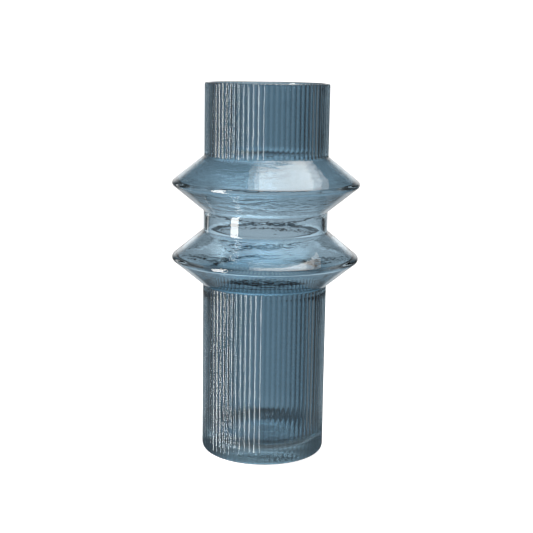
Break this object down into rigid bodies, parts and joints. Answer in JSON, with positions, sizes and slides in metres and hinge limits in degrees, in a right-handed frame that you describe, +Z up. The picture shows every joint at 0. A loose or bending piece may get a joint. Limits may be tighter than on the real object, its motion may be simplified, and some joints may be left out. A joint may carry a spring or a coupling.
{
  "type": "glass bud vase",
  "caption": "Tall round glass vase: reeded neck and body, hollow pointed rings round its middle with a plain band between them, thick foot. Holds water and cut stems.",
  "frame": {"origin": "centre of the resting face, on the vase's axis at table height", "axes": "+Z up along the vase's axis, +X to the right and -Y towards the camera in the picture"},
  "size_m": [0.1254, 0.1254, 0.25],
  "materials": {
    "blue_glass": "clear smoky blue, glossy"
  },
  "bodies": {
    "root": {"ribbed_neck": "blue_glass", "upper_ring": "blue_glass", "waist_band": "blue_glass", "lower_ring": "blue_glass", "ribbed_body": "blue_glass", "base": "blue_glass"}
  },
  "joints": []
}
